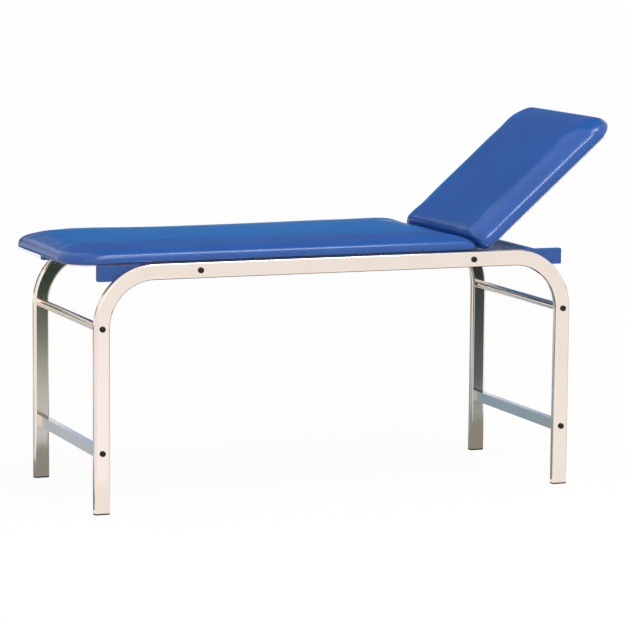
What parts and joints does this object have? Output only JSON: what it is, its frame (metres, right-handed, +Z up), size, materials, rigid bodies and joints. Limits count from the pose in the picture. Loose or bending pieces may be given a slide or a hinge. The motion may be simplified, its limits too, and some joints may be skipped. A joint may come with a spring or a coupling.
{
  "type": "examination table",
  "caption": "Examination table: two bent tube side frames with crossbars, a padded lying surface on a rail frame, and a padded headrest that tilts on a ratchet prop.",
  "frame": {"origin": "centre of the whole part's footprint, on the floor, with the headrest at its pictured angle", "axes": "+X from the foot end to the head end, +Y from the pictured side to the far side, +Z up"},
  "size_m": [1.661, 0.6172, 1.061],
  "materials": {
    "chrome_tube": "polished chrome plate on bent steel tube",
    "zinc_steel": "zinc-plated steel",
    "blue_vinyl": "smooth semi-gloss vinyl-coated fabric over foam",
    "blue_rail": "timber rail covered in smooth blue vinyl",
    "plywood": "bare birch plywood",
    "black_plastic": "moulded black plastic"
  },
  "bodies": {
    "base": {"side_frame_front": "chrome_tube", "side_frame_rear": "chrome_tube", "upper_crossbar_foot": "chrome_tube", "upper_crossbar_head": "chrome_tube", "lower_crossbar_foot": "chrome_tube", "lower_crossbar_head": "chrome_tube", "crossbar_inserts": "zinc_steel", "frame_bolts": "zinc_steel", "bolt_caps": "black_plastic", "foot_plugs": "black_plastic", "side_rail_front": "blue_rail", "side_rail_rear": "blue_rail", "cross_rail_foot": "blue_rail", "cross_rail_middle": "blue_rail", "cross_rail_hinge": "blue_rail", "cross_rail_head": "blue_rail", "rail_tee_nuts": "zinc_steel", "rail_brackets": "zinc_steel", "bracket_screws": "zinc_steel", "main_board": "plywood", "main_board_screws": "zinc_steel", "main_pad": "blue_vinyl", "hinge_brackets": "zinc_steel", "hinge_pins": "zinc_steel", "prop_brackets": "zinc_steel", "prop_pins": "zinc_steel"},
    "headrest": {"hinge_lugs": "zinc_steel", "head_board": "plywood", "head_pad": "blue_vinyl", "rack_bars": "zinc_steel", "head_screws": "zinc_steel"},
    "prop": {"prop_arms": "zinc_steel", "prop_bar": "zinc_steel"}
  },
  "joints": [
    {"name": "head_tilt", "type": "hinge", "parent": "base", "child": "headrest", "pos_m": [0.4385, 0, 0.6745], "axis": [0, -1, 0], "range_deg": [-41, 4]},
    {"name": "prop_swing", "type": "hinge", "parent": "base", "child": "prop", "pos_m": [0.6055, 0.11, 0.6745], "axis": [0, -1, 0], "range_deg": [-82, 8]}
  ],
  "couplings": [
    {"joint": "prop_swing", "follows": "head_tilt", "ratio": 2}
  ]
}
